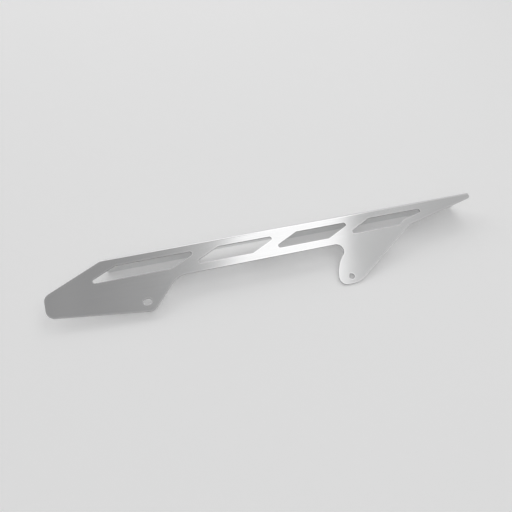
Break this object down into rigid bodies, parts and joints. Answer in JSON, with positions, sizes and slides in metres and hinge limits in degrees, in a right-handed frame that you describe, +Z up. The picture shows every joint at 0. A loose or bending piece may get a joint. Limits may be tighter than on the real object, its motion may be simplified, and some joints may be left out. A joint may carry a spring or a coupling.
{
  "type": "motorcycle chain guard",
  "caption": "Folded aluminium sheet chain guard with slanted windows through its face, a top flange, a front ear with a bolt hole and a slotted tail.",
  "frame": {"origin": "middle of the bounding box in X and Y, at the height the flange's free edge and the ear's end rest on", "axes": "+X along the fold from the tail to the nose, +Z up as it lies, the face looks up and towards -Y"},
  "size_m": [0.4912, 0.088, 0.032],
  "materials": {
    "sheet": "satin, finely brushed along its length"
  },
  "bodies": {
    "root": {"chain_guard": "sheet"}
  },
  "joints": []
}
